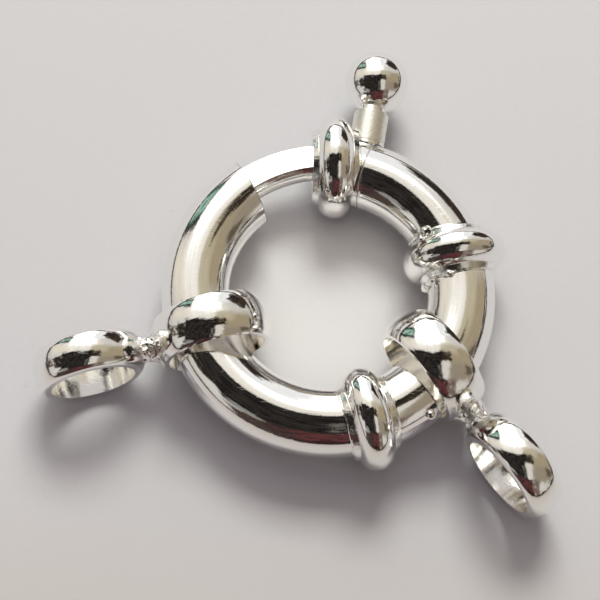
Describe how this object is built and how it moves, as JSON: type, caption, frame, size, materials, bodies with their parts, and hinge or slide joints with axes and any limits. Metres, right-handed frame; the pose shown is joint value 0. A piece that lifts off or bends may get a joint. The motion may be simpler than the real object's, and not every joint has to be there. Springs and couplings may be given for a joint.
{
  "type": "spring ring clasp",
  "caption": "Round tube ring clasp lying flat, with a curved sliding bolt and ball thumb trigger that open its mouth, domed collars and figure-eight connectors with eyes for a chain.",
  "frame": {"origin": "centre of the ring, on the surface that the clasp lies on", "axes": "+Z is the ring's axis, up from that surface; +Y points away from the viewer of the picture, towards the thumb trigger; +X points right"},
  "size_m": [0.0281, 0.0255, 0.0063],
  "materials": {
    "ring_silver": "polished sterling silver",
    "bolt_silver": "polished sterling silver, satin on the stem",
    "connector_silver": "polished sterling silver, grainy at the soldered neck"
  },
  "bodies": {
    "clasp_ring": {"ring_tube": "ring_silver", "connector_left": "connector_silver", "connector_right": "connector_silver"},
    "bolt": {"sliding_bolt": "bolt_silver"}
  },
  "joints": [
    {"name": "bolt_slide", "type": "hinge", "parent": "clasp_ring", "child": "bolt", "pos_m": [0, 0, 0.00283], "axis": [0, 0, 1], "range_deg": [-38, 0], "stiffness_Nm_per_rad": 0.004, "springref_deg": 22.92}
  ]
}
